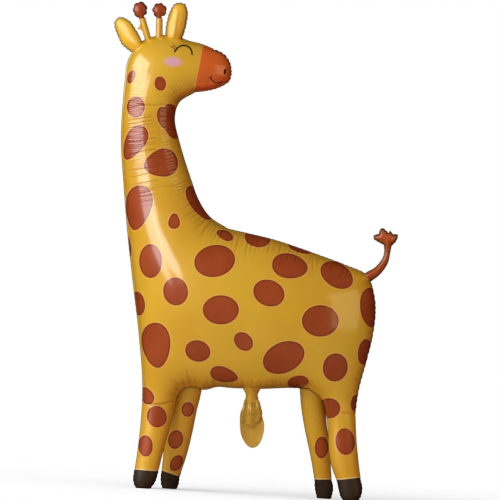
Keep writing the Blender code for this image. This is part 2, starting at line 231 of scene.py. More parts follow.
# Printed spots, each an egg: middle, half length, half width, way its blunt end points in degrees, taper.
TRUNK_SPOTS = [
    (263, 846, 13.5, 7, 68, 0),
    (321, 832, 14.2, 10.8, 100, 0),
    (272, 785.5, 20.6, 17.8, 90, 0),
    (345, 757, 35, 18, 102, 0),
    (330, 763, 23, 14, 110, 0),
    (269.5, 714, 37, 20, 62, 0.3),
    (322, 673, 34, 27, 12, 0.25),
    (277, 584, 45, 25.5, 80, 0.3),
    (399, 594, 39, 17, 125, 0.1),
    (349, 558, 15.6, 10.8, 265, 0.35),
    (302, 478, 33.6, 22.6, 90, 0),
    (249, 506, 30, 13, 97, 0),
    (450, 529.5, 17.2, 9, 335, 0.15),
    (515, 524, 25.4, 17.5, 350, 0),
    (429.7, 478.2, 40.5, 31.3, 12, 0),
    (579.5, 468, 35.6, 24.4, 170, 0.12),
    (600, 503, 24, 7.5, 342, 0),
    (673, 450, 35, 23.5, 328, 0),
    (537.5, 414.5, 31.5, 25.5, 338, 0),
    (442, 381, 35.6, 28.6, 0, 0),
    (640, 359, 36.4, 31, 0, 0),
    (742, 385, 39.5, 22, 97, 0),
    (487, 318, 20.5, 16.2, 318, 0),
    (396, 299, 25, 21, 345, 0),
    (567, 286, 43, 30, 25, 0),
    (670, 266, 28, 24.4, 80, 0),
    (729, 296.5, 25.6, 13, 82, 0),
    (448.5, 251, 28, 14.8, 165, 0.25),
    (352, 417.5, 27.6, 24.4, 100, 0),
    (276, 393, 23.6, 14, 98, 0),
    (313, 310, 45, 28.2, 95, 0.2),
    (294.3, 209.3, 17.8, 12, 295, 0.25),
    (314, 167.5, 21.4, 19.2, 110, 0),
    (291.5, 109, 20.8, 14, 92, 0),
    (690, 117.5, 26.4, 19, 97, 0),
    (710.5, 194.5, 16, 8.5, 82, 0),
    (658, 184, 22, 20, 0, 0),
    (596, 236, 21, 13, 8, 0),
]
FAR_FRONT_SPOTS = [(375.5, 181, 14.6, 12, 80, 0), (351, 120.5, 18.6, 14.6, 75, 0), (352.5, 73, 17, 11, 60, 0)]
FAR_REAR_SPOTS = [(643.5, 104.5, 21.4, 13.4, 88, 0)]

# Straight print edges, each from its left end to its right end; the hooves are black below theirs.
NEAR_FRONT_HOOF_EDGE = ((272, 62), (316, 58.6))
NEAR_REAR_HOOF_EDGE = ((672.8, 41), (718.6, 46))
FAR_FRONT_HOOF_EDGE = ((326.8, 57), (358.8, 46))
FAR_REAR_HOOF_EDGE = ((630, 40), (663, 40))
MUZZLE_EDGE = ((404.4, 906.2), (388, 819.2))
MUZZLE_FLOOR = (388, 800)  # the orange is only above this place

# The face. An oval: middle, half width, half height, turn. An arc: its circle's middle and radius, half width
# of the line, how far from the middle the chord lies that ends it, and the way to that chord. A stroke: first
# place, last place and half width. Turns and ways are in degrees.
CHEEK = ((346.6, 875.6), 19.5, 11, -4)
NOSTRIL = ((450, 856.5), 2.7, 6.4, -12)
EYELID = ((367.6, 891.8), 16.8, 1.7, 5.9, 60.5)
SMILE = ((436.2, 849.8), 15.9, 1.1, 9.5, -107.7)
LID_END = ((348.5, 895.2), (357.2, 904.9), 1.7)
LASHES = [((341.5, 906.5), (351, 900.5), 0.85), ((346, 909.5), (354.5, 903.5), 0.85)]
SMILE_TICK = [((415.8, 844.6), (421.6, 845), 0.8), ((421, 844.4), (425.2, 848.8), 0.8)]
LINE_BLUR = 0.35  # how softly each of these lines ends

# How far outside a printed shape's edge, in metres, each of its lines begins and is full.
SPOT_HALO = (0.0032, 0.0016)
SPOT_RIM = (0.0007, -0.0003)
SPOT_FILL = (-0.0018, -0.0030)
MUZZLE_LINE = (0.0004, -0.0004)
MUZZLE_FILL = (-0.0014, -0.0022)
HOOF_LINE = (0.0032, 0.0020)
HOOF_FILL = (0.0004, -0.0003)
SHADED_HEM_FILL = (1.15, 0.85)  # in widths of the band along the edge painted dark as shade

# Fine pleats across the neck.
PLEATED = (286, 700, 100, 22, 95, 0)  # where they are, as an egg
PLEAT_FADE = 0.008  # metres in which they end there
PLEAT_WAY = ((270, 700), 100)  # a place, and the way in degrees that they follow each other
PLEATS_A_METRE = 250.0
PLEAT_WARP = 0.010  # metres by which they wander

# Heights in metres between which the film's clear gloss fades out down the legs.
GLOSSY_ABOVE = 0.36
DULL_BELOW = 0.06

# Unprinted film: name, roughness, how metallic it is, and how much clear gloss it has.
SATIN_GOLD = ("satin_gold", 0.42, 0.25, 0.3)
BRIGHT_GOLD = ("bright_gold", 0.22, 0.35, 1.0)

# Thin leaves: middle on the sheet, then thickness and mesh step in metres.
FLAP_LEAF = ((284, 944), 0.0004, 0.0011)
TONGUE_LEAF = ((504, 156), 0.0006, 0.0015)
LIP_LEAF = ((504, 204), 0.0004, 0.0010)

# How the lip stands off and is pleated, in metres.
LIP_LENGTH = 0.055
LIP_HALF_WIDTH = 0.028
LIP_GAP = 0.0035  # how far it stands off where it leaves the neck
LIP_BELLY = 0.008  # how much further it stands off below
LIP_PLEAT_WIDTH = 0.0062
LIP_PLEAT_SPREAD = 0.004  # how much wider the pleats are at the bottom
LIP_PLEAT_DEPTH = 0.0022

# Soft lights: place, what each faces, then width and height, in metres.
KEY_LIGHT = ((-1.78, -0.68, 1.27), (-0.10, 0, 1.02), (1.85, 1.3))
CHEST_LIGHT = ((-1.10, -1.33, 0.84), (-0.165, -0.085, 0.48), (0.46, 0.30))
SIDE_LIGHT = ((1.50, -0.74, 0.84), (0.2, 0, 0.60), (1.2, 1.30))
FILL_LIGHT = ((-1.6, -2.2, 1.4), (0, 0, 0.45), (2.0, 2.0))
KEY_ROLL = math.radians(-12)  # leans the long reflection on the neck
ROOM_BRIGHT_SIDE = (-0.55, -0.35, 0.76)  # the way to the pale side of the room
FLOOR_SIDE = 3
FLOOR_DROP = 0.0002  # under the soles, so that they don't flicker in it
SENSOR_WIDTH = 36  # millimetres
SHEET_MIDDLE = (500, 500)


def level(points):
    """Thousandths of the leaning sheet to metres, upright, as across and up."""
    x, z = np.asarray(points, float).T / 1000 * SHEET_SIDE
    x = x - PIVOT * SHEET_SIDE
    across = x * math.cos(LEAN) - z * math.sin(LEAN)
    up = x * math.sin(LEAN) + z * math.cos(LEAN) + SOLE_LEVEL
    return np.stack([across, up], axis=-1)


def curve_through(points, step):
    """Points at about the step along a smooth curve through the given ones, without its last point."""
    p = np.asarray(points, float)
    p = np.concatenate([[2 * p[0] - p[1]], p, [2 * p[-1] - p[-2]]])
    fine = []
    for a, b, c, d in zip(p, p[1:], p[2:], p[3:]):
        knots = np.cumsum([0] + [max(math.dist(u, v), 1e-9) ** 0.5 for u, v in ((a, b), (b, c), (c, d))])
        t0, t1, t2, t3 = knots
        t = np.linspace(t1, t2, CURVE_POINTS, endpoint=False)[:, None]
        ab = ((t1 - t) * a + (t - t0) * b) / (t1 - t0)
        bc = ((t2 - t) * b + (t - t1) * c) / (t2 - t1)
        cd = ((t3 - t) * c + (t - t2) * d) / (t3 - t2)
        abc = ((t2 - t) * ab + (t - t0) * bc) / (t2 - t0)
        bcd = ((t3 - t) * bc + (t - t1) * cd) / (t3 - t1)
        fine.append(((t2 - t) * abc + (t - t1) * bcd) / (t2 - t1))
    fine = np.concatenate(fine + [p[-2:-1]])
    run = np.concatenate([[0], np.cumsum(np.linalg.norm(np.diff(fine, axis=0), axis=1))])
    count = max(2, round(run[-1] / step))
    at = np.linspace(0, run[-1], count, endpoint=False)
    return np.stack([np.interp(at, run, fine[:, 0]), np.interp(at, run, fine[:, 1])], axis=1)


def horn_stretches(middle, half, foot, width):
    """A knob on a stem, as stretches of one outline."""
    turn = math.atan2(foot[1] - middle[1], foot[0] - middle[0])
    side = np.array([-math.sin(turn), math.cos(turn)]) * width / 2
    foot = np.array(foot)
    neck = math.atan2(width / 2, half[0])
    angles = np.linspace(turn + neck, turn - neck + 2 * math.pi, 22)
    knob = np.stack([middle[0] + half[0] * np.cos(angles), middle[1] + half[1] * np.sin(angles)], axis=1)
    stem = [(knob[-1], foot - side), (foot - side, foot + side), (foot + side, knob[0])]
    return [(knob, KNOB_EDGE, KNOB_EDGE)] + [(np.array(line), STEM_EDGE, STEM_EDGE) for line in stem]


def middle_of_figure():
    """Across place of the middle of all the outlines, which is where the frame has x = 0."""
    drawn = [TRUNK, FAR_FRONT_LEG, FAR_REAR_LEG, LEFT_EAR, RIGHT_EAR, TAIL]
    drawn += [horn_stretches(*horn) for horn in HORNS.values()]
    across = np.concatenate([curve_through(level(s[0]), 0.001) for outline in drawn for s in outline])[:, 0]
    return (across.min() + across.max()) / 2


MIDDLE = middle_of_figure()


def placed(points):
    """Sheet thousandths to the frame's x and z."""
    return level(points) - (MIDDLE, 0)


def runs_clockwise(rim):
    """Whether a closed outline runs clockwise."""
    x, z = rim.T
    return np.sum(x * np.roll(z, -1) - np.roll(x, -1) * z) < 0


def tree_of(rim):
    """A search tree of an outline's points."""
    tree = kdtree.KDTree(len(rim))
    for index, (x, z) in enumerate(rim.tolist()):
        tree.insert((x, z, 0), index)
    tree.balance()
    return tree


class Outline:
    """A closed, counter-clockwise weld line with its gather, and what lies inside it."""

    def __init__(self, stretches, step):
        places, welds = [], []
        for points, first, last in stretches:
            part = curve_through(placed(points), step)
            share = np.arange(len(part))[:, None] / len(part)
            places.append(part)
            welds.append(np.array(first) * (1 - share) + np.array(last) * share)
        self.rim = np.concatenate(places)
        self.weld = np.concatenate(welds) / 1000
        if runs_clockwise(self.rim):
            self.rim = self.rim[::-1]
            self.weld = self.weld[::-1]
        self.sides = np.linalg.norm(np.roll(self.rim, -1, axis=0) - self.rim, axis=1)
        self.run = np.concatenate([[0], np.cumsum(self.sides)[:-1]])
        self.length = self.sides.sum()
        tangent = np.roll(self.rim, -1, axis=0) - np.roll(self.rim, 1, axis=0)
        self.inward = np.stack([-tangent[:, 1], tangent[:, 0]], axis=1)
        self.inward /= np.linalg.norm(self.inward, axis=1)[:, None]
        self.tree = tree_of(self.rim)

    def nearest(self, points):
        """Distance of each point from the weld's outer edge, and how far round it the nearest place is."""
        index = np.array([self.tree.find((x, z, 0))[1] for x, z in points.tolist()])
        best = np.full(len(points), np.inf)
        run = np.zeros(len(points))
        for start in ((index - 1) % len(self.rim), index):
            a = self.rim[start]
            b = self.rim[(start + 1) % len(self.rim)]
            share = ((points - a) * (b - a)).sum(axis=1) / np.maximum(self.sides[start] ** 2, 1e-18)
            share = np.clip(share, 0, 1)
            away = np.linalg.norm(points - a - share[:, None] * (b - a), axis=1)
            closer = away < best
            best = np.where(closer, away, best)
            run = np.where(closer, self.run[start] + share * self.sides[start], run)
        return best, run

    def lattice(self, step):
        """Even triangular lattice points inside, with the row and column of each."""
        low = self.rim.min(axis=0)
        high = self.rim.max(axis=0)
        ahead = np.roll(self.rim, -1, axis=0)
        found, rows, columns = [], [], []
        height = step * math.sqrt(0.75)
        for row in range(int((high[1] - low[1]) / height) + 1):
            z = low[1] + (row + 0.37) * height
            spans = (self.rim[:, 1] > z) != (ahead[:, 1] > z)
            a = self.rim[spans]
            b = ahead[spans]
            crossings = np.sort(a[:, 0] + (z - a[:, 1]) / (b[:, 1] - a[:, 1]) * (b[:, 0] - a[:, 0]))
            column = np.arange(int((high[0] - low[0]) / step) + 2)
            x = low[0] + (column + 0.5 * (row % 2)) * step
            inside = np.searchsorted(crossings, x) % 2 == 1
            found.append(np.stack([x[inside], np.full(inside.sum(), z)], axis=1))
            rows.append(np.full(inside.sum(), row))
            columns.append(column[inside])
        return np.concatenate(found), np.concatenate(rows), np.concatenate(columns)

    def weld_at(self, run, column):
        """One of the weld's figures at places round the edge."""
        return np.interp(run, self.run, self.weld[:, column], period=self.length)

    def puckers(self, seed):
        """Places round the edge where the weld gathers the film, each with its strength."""
        chance = np.random.default_rng(seed)
        at = 0.0
        marks = []
        while at < self.length:
            spacing = float(self.weld_at(at, 0))
            marks.append((at, chance.uniform(0.45, 1.0)))
            at += spacing * chance.uniform(0.75, 1.25)
        return marks

    def notches(self, away, run, marks):
        """How far each point near the edge is drawn in by the puckers, as a step in x and z."""
        pull = np.zeros(len(run))
        for at, strength in marks:
            notch = float(self.weld_at(at, 1)) * strength
            width = 0.2 * float(self.weld_at(at, 0))
            off = (run - at + self.length / 2) % self.length - self.length / 2
            pull += notch * np.exp(-((off / width) ** 2))
        pull *= np.clip(1 - away / NOTCH_REACH, 0, 1)
        inward = [np.interp(run, self.run, self.inward[:, k], period=self.length) for k in (0, 1)]
        return np.stack(inward, axis=1) * pull[:, None]


def triangulate(rim, inner):
    """Points and triangles inside the rim, with a point on each chord, so that plies share only the rim."""
    count = len(rim)
    edges = [(i, (i + 1) % count) for i in range(count)]
    for _ in range(8):
        flat = np.concatenate([rim, inner])
        found = geometry.delaunay_2d_cdt([Vector(p) for p in flat.tolist()], edges, [], 0, 1e-7, False)
        points = np.array([tuple(p) for p in found[0]])
        triangles = np.array(found[2])
        a, b, c = (points[triangles[:, k]] for k in range(3))
        middles = (a + b + c) / 3
        area = 0.5 * np.abs((b - a)[:, 0] * (c - a)[:, 1] - (b - a)[:, 1] * (c - a)[:, 0])
        on_rim = (triangles < count).all(axis=1)
        kept = np.ones(len(triangles), bool)
        kept[on_rim] = inside_of(rim, middles[on_rim]) & (area[on_rim] > SLIVER)
        triangles = triangles[kept]
        sides = np.sort(np.concatenate([triangles[:, pair] for pair in ([0, 1], [1, 2], [2, 0])]), axis=1)
        sides = np.unique(sides[sides[:, 1] < count], axis=0)
        steps = sides[:, 1] - sides[:, 0]
        chords = sides[(steps > 1) & (steps < count - 1)]
        if len(chords) == 0:
            return points, triangles
        inner = np.concatenate([inner, points[chords].mean(axis=1)])
    raise RuntimeError("the film can't be meshed: its outline crosses itself or a point lies outside it")


def inside_of(rim, points):
    """Whether each point lies inside a closed outline."""
    crossings = np.zeros(len(points), int)
    for a, b in zip(rim, np.roll(rim, -1, axis=0)):
        spans = (a[1] > points[:, 1]) != (b[1] > points[:, 1])
        reach = a[0] + (points[:, 1] - a[1]) / (b[1] - a[1] + 1e-18) * (b[0] - a[0])
        crossings += spans & (points[:, 0] < reach)
    return crossings % 2 == 1


def swell(points, triangles, fixed):
    """Height of the pressed film over each point: the root of twice a membrane's sag under even pressure."""
    a, b, c = (points[triangles[:, k]] for k in range(3))
    double_area = np.abs((b - a)[:, 0] * (c - a)[:, 1] - (b - a)[:, 1] * (c - a)[:, 0])
    starts, ends, weights = [], [], []
    for i, j, k in ((0, 1, 2), (1, 2, 0), (2, 0, 1)):
        u = points[triangles[:, i]] - points[triangles[:, k]]
        v = points[triangles[:, j]] - points[triangles[:, k]]
        starts.append(triangles[:, i])
        ends.append(triangles[:, j])
        weights.append((u * v).sum(axis=1) / (2 * np.maximum(double_area, 1e-12)))
    starts, ends, weights = map(np.concatenate, (starts, ends, weights))
    count = len(points)
    load = np.bincount(triangles.ravel(), np.repeat(double_area / 6, 3), count)
    load[fixed] = 0
    stiff = np.bincount(starts, weights, count) + np.bincount(ends, weights, count)
    ease = 1 / np.maximum(stiff, 1e-9)

    def stiffness(u):
        flow = weights * (u[starts] - u[ends])
        out = np.bincount(starts, flow, count) - np.bincount(ends, flow, count)
        out[fixed] = 0
        return out

    sag = np.zeros(count)
    rest = load.copy()
    eased = ease * rest
    way = eased.copy()
    size = rest @ eased
    goal = size * 1e-9
    for _ in range(3000):
        if size <= goal:
            break
        pushed = stiffness(way)
        share = size / (way @ pushed)
        sag += share * way
        rest -= share * pushed
        eased = ease * rest
        new_size = rest @ eased
        way = eased + new_size / size * way
        size = new_size
    return np.sqrt(2 * np.maximum(sag, 0))


def near_side(points):
    """How far the trunk's sheet is bent out of its plane: its legs turn towards the viewer below the hip."""
    below = np.maximum(HIP_HEIGHT - points[:, 1], 0) / HIP_HEIGHT
    return -FEET_APART / 2 * below**1.25


def far_side(points):
    """The far legs start behind the middle and turn away."""
    below = (HIP_HEIGHT - points[:, 1]) / HIP_HEIGHT
    return FAR_HIP_OFFSET + (FEET_APART / 2 - FAR_HIP_OFFSET) * below


def upright(points):
    """No bend at all."""
    return np.zeros(len(points))


def turned(middle, axis, slope):
    """Bend of a leaf that is turned to face left about an axis, given in degrees, through a sheet place."""
    axis = math.radians(axis) + LEAN

    def bend(points):
        away = points - placed([middle])[0]
        return slope * (away[:, 1] * math.cos(axis) - away[:, 0] * math.sin(axis))

    return bend


def egg_distance(points, spot):
    """Distance outside an egg-shaped spot, negative inside, right near its edge."""
    x, z, half_length, half_width, turn, taper = spot
    away = points - placed([(x, z)])[0]
    turn = math.radians(turn) + LEAN
    length, width = half_length / 1000, half_width / 1000
    u = (away[:, 0] * math.cos(turn) + away[:, 1] * math.sin(turn)) / length
    v = (away[:, 1] * math.cos(turn) - away[:, 0] * math.sin(turn)) / width
    wide = 1 + taper * np.clip(u, -1.4, 1.4)
    size = u**2 + (v / wide) ** 2
    slope = np.hypot((2 * u - 2 * v**2 * taper / wide**3) / length, 2 * v / (wide**2 * width))
    return (size - 1) / np.maximum(slope, 0.2 / width)


def line_distance(points, line):
    """Distance above the line through two sheet points, left end first."""
    a, b = placed(line)
    along = (b - a) / np.linalg.norm(b - a)
    away = points - a
    return away[:, 1] * along[0] - away[:, 0] * along[1]


def fold_press(points, fold):
    """How far a fold presses the film in at each point; negative where the film bulges over it."""
    line, depth, width, bulge = fold
    curve = curve_through(placed(line), 0.001)
    close = (points > curve.min(axis=0) - FOLD_REACH) & (points < curve.max(axis=0) + FOLD_REACH)
    close = close.all(axis=1)
    moved = np.zeros(len(points))
    points = points[close]
    away = np.full(len(points), np.inf)
    share = np.zeros(len(points))
    side = np.zeros(len(points))
    for index, (a, b) in enumerate(zip(curve, curve[1:])):
        along = np.clip((points - a) @ (b - a) / ((b - a) @ (b - a)), 0, 1)
        off = points - a - along[:, None] * (b - a)
        distance = np.linalg.norm(off, axis=1)
        closer = distance < away
        away = np.where(closer, distance, away)
        share = np.where(closer, (index + along) / (len(curve) - 1), share)
        side = np.where(closer, (b - a)[0] * off[:, 1] - (b - a)[1] * off[:, 0], side)
    fade = np.sin(np.pi * np.clip(share, 0, 1)) ** 0.6
    press = depth / 1000 * np.exp(-((away / (width / 1000)) ** 2))
    lift = bulge / 1000 * np.where(side > 0, np.exp(-away / 0.010) * (1 - np.exp(-away / 0.002)), 0)
    moved[close] = fade * (press - lift)
    return moved


def ply_normals(places, triangles):
    """Outward normals of the front ply."""
    a, b, c = (places[triangles[:, k]] for k in range(3))
    face = np.cross(b - a, c - a)
    corners = triangles.ravel()
    total = np.stack([np.bincount(corners, np.repeat(face[:, k], 3), len(places)) for k in range(3)], axis=1)
    return total / np.maximum(np.linalg.norm(total, axis=1), 1e-12)[:, None]


def empty_mesh_object(name):
    """A new object with nothing in its mesh yet."""
    bpy.ops.object.select_all(action="DESELECT")
    piece = bpy.data.objects.new(name, bpy.data.meshes.new(name))
    bpy.context.scene.collection.objects.link(piece)
    return piece


def film_points(outline, fine, rows, folds):
    """Rows of points that follow the edge, and inside them a lattice that is finer at puckers and folds."""
    inner = []
    for row in rows:
        candidates = outline.rim + outline.inward * row
        away, _ = outline.nearest(candidates)
        inner.append(candidates[away > ROW_KEPT * row])
    grid, row, column = outline.lattice(fine)
    away, run = outline.nearest(grid)
    reach = outline.weld_at(run, 3)
    every = (away < reach * 0.9) & (reach > LONG_REACH)
    second = (row % 2 == 0) & ((column - row // 2) % 2 == 0) & (away < BORDER)
    fourth = (row % 4 == 0) & (column % 2 == 0) & ((column // 2 - row // 4) % 2 == 0)
    bent = np.zeros(len(grid), bool)
    for fold in folds:
        bent |= np.abs(fold_press(grid, fold)) > 0.06 * fold[1] / 1000
    chosen = (every | second | fourth | bent) & (away > rows[-1] + 0.5 * fine)
    return np.concatenate(inner + [grid[chosen]])


def gathered(outline, marks, folds, points, away, run, weld_width):
    """How far puckers and folds press the film in at each point, and how much painted shade it gets in their
    creases (0 to 1).
    """
    press = np.zeros(len(points))
    crease_shade = np.zeros(len(points))
    start = np.clip((away - weld_width) / PUCKER_START, 0, 1)
    start = start * start * (3 - 2 * start)
    for at, strength in marks:
        off = (run - at + outline.length / 2) % outline.length - outline.length / 2
        spacing, _, dent, reach, _ = (float(outline.weld_at(at, k)) for k in range(5))
        width = PUCKER_WIDTH * spacing
        near = np.abs(off) < 3 * width
        reach *= 0.5 + 0.5 * strength
        fade = np.clip((1 - away[near] / reach) / 0.5, 0, 1)
        press[near] += dent * strength * fade * np.exp(-((off[near] / width) ** 2))
        line = strength * min(1, dent * PUCKER_DARKNESS) * fade * np.exp(-((off[near] / (0.85 * width)) ** 2))
        crease_shade[near] = np.maximum(crease_shade[near], line)
    press *= start
    for fold in folds:
        fold_depth = fold_press(points, fold)
        press += fold_depth * start
        crease_shade = np.maximum(crease_shade, np.clip(fold_depth * FOLD_DARKNESS, 0, 1))
    return press, crease_shade


def ply_pair(name, front, back, triangles, count):
    """One closed mesh of two plies, which share their first points, the rim."""
    behind = np.where(triangles < count, triangles, triangles + len(front) - count)
    vertices = np.concatenate([front, back[count:]])
    vertices[:, 2] = np.maximum(vertices[:, 2], 0)
    faces = np.concatenate([triangles, behind[:, ::-1]])
    piece = empty_mesh_object(name)
    piece.data.from_pydata(vertices.tolist(), [], faces.tolist())
    piece.data.update()
    shape = bmesh.new()
    shape.from_mesh(piece.data)
    bmesh.ops.recalc_face_normals(shape, faces=shape.faces)
    shape.to_mesh(piece.data)
    shape.free()
    piece.data.shade_smooth()
    return piece


def welded_film(name, stretches, bend, fullness, steps, folds=(), seed=1):
    """Two plies of film welded along an outline and blown up, with puckers and folds, as one closed mesh.

    Returns the piece and each point's place on the sheet. The points keep how far each lies from the edge, as a
    share of the dark band painted as shade along the weld, how much painted shade they get in creases, and how
    much painted shade they get near lower and right edges.
    """
    film = bpy.context.scene.balloon_film
    rim_step, fine, rows = steps
    outline = Outline(stretches, rim_step)
    marks = outline.puckers(seed)
    points, triangles = triangulate(outline.rim, film_points(outline, fine, rows, folds))
    count = len(outline.rim)
    away, run = outline.nearest(points)
    welded = away < film.weld_width * 1.02
    height = fullness * swell(points, triangles, welded)
    waviness = np.array([noise.noise(Vector((x * 14, 3.7, z * 14))) for x, z in points.tolist()])
    height *= 1 + WAVINESS * waviness
    # Painted shade: the film is darker near edges that face down or right, fading inward.
    outward = [-np.interp(run, outline.run, outline.inward[:, k], period=outline.length) for k in (0, 1)]
    facing = np.clip(outward[0] * SHADE_SIDE[0] + outward[1] * SHADE_SIDE[1], 0, 1)
    shade = facing * np.exp(-(away / SHADE_REACH) ** 2)
    points = points + outline.notches(away, run, marks)
    front = np.stack([points[:, 0], -height, points[:, 1]], axis=1)
    normals = ply_normals(front, triangles)
    press, crease_shade = gathered(outline, marks, folds, points, away, run, film.weld_width)
    front -= normals * press[:, None]
    front[welded, 1] = -film.film_thickness
    front[:count, 1] = 0
    back = front * (1, -1, 1)
    shift = bend(points)
    front[:, 1] += shift
    back[:, 1] += shift
    piece = ply_pair(name, front, back, triangles, count)
    for field, values in (("edge", away / outline.weld_at(run, 4)), ("crease_shade", crease_shade), ("shade", shade)):
        store(piece, field, np.concatenate([values, values[count:]]))
    return piece, np.concatenate([points, points[count:]])


def store(piece, name, values):
    """A number for each point of a piece, which its material reads."""
    attribute = piece.data.attributes.new(name, "FLOAT", "POINT")
    attribute.data.foreach_set("value", np.asarray(values, np.float32))


def spot_field(sheet, spots):
    """Distance outside the nearest spot."""
    if not spots:
        return np.full(len(sheet), 1.0)
    return np.clip(np.min([egg_distance(sheet, spot) for spot in spots], axis=0), -1, 1)


def leave_unprinted(piece, *fields):
    """Keeps printed shapes off a piece: each of its points is far outside them."""
    for field in fields:
        store(piece, field, np.ones(len(piece.data.vertices)))


def finish_piece(piece, material):
    """What every film piece is given: its material and its body; the CAD envelope that it stands for is hidden.
    """
    piece.data.materials.append(material)
    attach(piece, "root")
    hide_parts(ENVELOPE)


class Nodes:
    """Short hand for building a material's nodes."""

    def __init__(self, name):
        self.material = bpy.data.materials.get(name) or bpy.data.materials.new(name)
        self.material.use_nodes = True
        self.tree = self.material.node_tree
        self.tree.nodes.clear()
        self.shader = self.tree.nodes.new("ShaderNodeBsdfPrincipled")
        output = self.tree.nodes.new("ShaderNodeOutputMaterial")
        self.tree.links.new(self.shader.outputs[0], output.inputs["Surface"])

    def feed(self, socket, value):
        """A link, or a plain value where there is nothing to link."""
        if isinstance(value, bpy.types.NodeSocket):
            self.tree.links.new(value, socket)
        else:
            socket.default_value = value

    def field(self, name):
        """A number that a piece keeps at its points."""
        node = self.tree.nodes.new("ShaderNodeAttribute")
        node.attribute_name = name
        return node.outputs["Fac"]

    def place(self):
        """Where a point of the film lies."""
        return self.tree.nodes.new("ShaderNodeTexCoord").outputs["Object"]

    def math(self, operation, *values):
        node = self.tree.nodes.new("ShaderNodeMath")
        node.operation = operation
        for socket, value in zip(node.inputs, values):
            self.feed(socket, value)
        return node.outputs[0]

    def vector(self, operation, *values):
        node = self.tree.nodes.new("ShaderNodeVectorMath")
        node.operation = operation
        for socket, value in zip(node.inputs, values):
            self.feed(socket, value)
        return node.outputs["Value" if operation in ("DOT_PRODUCT", "DISTANCE") else "Vector"]

    def ramp(self, value, low, high):
        """Smoothly from 0 at low to 1 at high, or the other way where low is the larger."""
        node = self.tree.nodes.new("ShaderNodeMapRange")
        node.interpolation_type = "SMOOTHSTEP"
        self.feed(node.inputs["Value"], value)
        node.inputs["From Min"].default_value = min(low, high)
        node.inputs["From Max"].default_value = max(low, high)
        node.inputs["To Min"].default_value = 0.0 if low < high else 1.0
        node.inputs["To Max"].default_value = 1.0 if low < high else 0.0
        return node.outputs["Result"]

    def mix(self, share, first, second, blend="MIX"):
        """One colour over another by a share, or multiplied into it."""
        node = self.tree.nodes.new("ShaderNodeMix")
        node.data_type = "RGBA"
        node.blend_type = blend
        self.feed(node.inputs["Factor"], share)
        self.feed(node.inputs["A"], first)
        self.feed(node.inputs["B"], second)
        return node.outputs["Result"]

    def noise(self, scale, detail, stretch=(1, 1, 1)):
        """Soft noise in the film's own place."""
        mapping = self.tree.nodes.new("ShaderNodeMapping")
        mapping.inputs["Scale"].default_value = stretch
        self.feed(mapping.inputs["Vector"], self.place())
        node = self.tree.nodes.new("ShaderNodeTexNoise")
        node.inputs["Scale"].default_value = scale
        node.inputs["Detail"].default_value = detail
        self.tree.links.new(mapping.outputs[0], node.inputs["Vector"])
        return node.outputs["Fac"]

    def noise_along(self, value, scale):
        """Noise that only changes with one value, as lines."""
        node = self.tree.nodes.new("ShaderNodeTexNoise")
        node.noise_dimensions = "1D"
        node.inputs["Scale"].default_value = scale
        node.inputs["Detail"].default_value = 1.0
        self.tree.links.new(value, node.inputs["W"])
        return node.outputs["Fac"]

    def bump(self, height, strength, distance):
        """Relief too fine for the mesh."""
        node = self.tree.nodes.new("ShaderNodeBump")
        node.inputs["Strength"].default_value = strength
        node.inputs["Distance"].default_value = distance
        self.feed(node.inputs["Height"], height)
        self.tree.links.new(node.outputs["Normal"], self.shader.inputs["Normal"])


def ink(colour):
    """A colour property as a node's four numbers."""
    return (*colour, 1.0)


def near_place(nodes, spot):
    """Distance of a point from a sheet place, in the plane of the sheet."""
    x, z = placed([spot])[0]
    flat = nodes.vector("MULTIPLY", nodes.place(), (1, 0, 1))
    return nodes.vector("DISTANCE", flat, (x, 0, z))


def beyond(nodes, spot, turn):
    """How far a point lies past a sheet place, along a direction given in degrees."""
    x, z = placed([spot])[0]
    turn = math.radians(turn) + LEAN
    way = (math.cos(turn), 0, math.sin(turn))
    return nodes.math("SUBTRACT", nodes.vector("DOT_PRODUCT", nodes.place(), way), x * way[0] + z * way[2])


def line_band(nodes, away, half_width):
    """A line where the distance from its middle is small."""
    outer = (half_width + LINE_BLUR) / 1000
    inner = (half_width - LINE_BLUR) / 1000
    return nodes.ramp(nodes.math("ABSOLUTE", away), outer, inner)


def arc_stroke(nodes, middle, radius, half_width, start, turn):
    """A thin arc: its circle's middle and radius, and the part of it past a chord."""
    band = line_band(nodes, nodes.math("SUBTRACT", near_place(nodes, middle), radius / 1000), half_width)
    part = nodes.ramp(nodes.math("SUBTRACT", beyond(nodes, middle, turn), start / 1000), -0.0003, 0.0003)
    return nodes.math("MULTIPLY", band, part)


def straight_stroke(nodes, first, last, half_width):
    """A thin straight line between two sheet places."""
    turn = math.degrees(math.atan2(last[1] - first[1], last[0] - first[0]))
    length = math.dist(first, last) / 1000
    along = nodes.math("ABSOLUTE", nodes.math("SUBTRACT", beyond(nodes, first, turn), length / 2))
    ends = nodes.ramp(along, length / 2 + 0.0003, length / 2 - 0.0003)
    return nodes.math("MULTIPLY", ends, line_band(nodes, beyond(nodes, first, turn + 90), half_width))


def oval_field(nodes, middle, half_width, half_height, turn):
    """Share of the way from an oval's middle (0) to its edge (1) and past it."""
    wide = nodes.math("DIVIDE", beyond(nodes, middle, turn), half_width / 1000)
    high = nodes.math("DIVIDE", beyond(nodes, middle, turn + 90), half_height / 1000)
    squares = nodes.math("ADD", nodes.math("POWER", wide, 2.0), nodes.math("POWER", high, 2.0))
    return nodes.math("SQRT", squares)


def face_print(nodes, colour):
    """The face over a colour, and where its dark lines are."""
    inks = bpy.context.scene.balloon_inks
    cheek = nodes.ramp(oval_field(nodes, *CHEEK), 1.15, 0.55)
    colour = nodes.mix(nodes.math("MULTIPLY", cheek, 0.92), colour, ink(inks.cheek))
    strokes = [arc_stroke(nodes, *arc) for arc in (EYELID, SMILE)]
    strokes += [straight_stroke(nodes, *stroke) for stroke in (LID_END, *LASHES, *SMILE_TICK)]
    dark = nodes.ramp(oval_field(nodes, *NOSTRIL), 1.1, 0.8)
    for stroke in strokes:
        dark = nodes.math("MAXIMUM", dark, stroke)
    return nodes.mix(dark, colour, ink(inks.line)), dark


